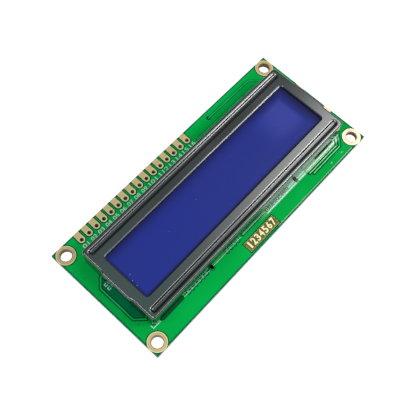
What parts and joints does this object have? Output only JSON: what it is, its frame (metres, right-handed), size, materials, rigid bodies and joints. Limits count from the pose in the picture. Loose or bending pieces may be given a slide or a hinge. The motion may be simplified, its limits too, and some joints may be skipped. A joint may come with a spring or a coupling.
{
  "type": "character display module",
  "caption": "Green circuit board with a black folded-metal bezel round a blue character display window, gold header lands along one edge.",
  "frame": {"origin": "middle of the circuit board's outline, on the plane that the bezel's twisted tabs stand on", "axes": "+X along the board's length, header row on the +Y side starting at the -X end, +Z out of the display window"},
  "size_m": [0.08, 0.036, 0.0104],
  "materials": {
    "circuit_board": "green solder lacquer on glass-fibre laminate",
    "gold": "bare gold-plated copper",
    "bezel_black": "black enamelled sheet steel",
    "screen_blue": "blue polarising film, satin",
    "glass": "clear polished glass",
    "film_grey": "grey polarising film",
    "sealant": "cured sealant",
    "strip_rubber": "elastic contact strip",
    "tray_white": "white moulded tray",
    "acrylic": "clear acrylic light guide",
    "film_white": "white film",
    "led_board": "white lacquered strip",
    "led": "lamp body with yellow phosphor",
    "tin": "tinned copper and solder",
    "resin_black": "black poured resin",
    "chip_black": "black ceramic chip resistor",
    "chip_tan": "tan ceramic chip capacitor"
  },
  "bodies": {
    "root": {"circuit_board": "circuit_board", "header_lands": "gold", "marking_land": "gold", "backlight_lands": "gold", "upper_left_land": "gold", "upper_right_land": "gold", "lower_left_land": "gold", "lower_right_land": "gold", "lower_contact_fingers": "gold", "upper_contact_fingers": "gold", "lower_contact_strip": "strip_rubber", "upper_contact_strip": "strip_rubber", "bezel": "bezel_black", "front_polariser": "screen_blue", "front_glass": "glass", "rear_glass": "glass", "rear_polariser": "film_grey", "cell_seal": "sealant", "fill_port_plug": "sealant", "backlight_frame": "tray_white", "reflector_film": "film_white", "diffuser_film": "film_white", "light_guide": "acrylic", "led_board": "led_board", "led_1": "led", "led_2": "led", "led_3": "led", "anode_pin": "tin", "cathode_pin": "tin", "anode_solder": "tin", "cathode_solder": "tin", "chip_solder": "tin", "left_driver_cap": "resin_black", "right_driver_cap": "resin_black", "resistor_1": "chip_black", "resistor_2": "chip_black", "resistor_3": "chip_black", "resistor_4": "chip_black", "resistor_5": "chip_black", "resistor_6": "chip_black", "resistor_7": "chip_black", "resistor_8": "chip_black", "resistor_9": "chip_black", "capacitor_1": "chip_tan", "capacitor_2": "chip_tan", "capacitor_3": "chip_tan"}
  },
  "joints": []
}
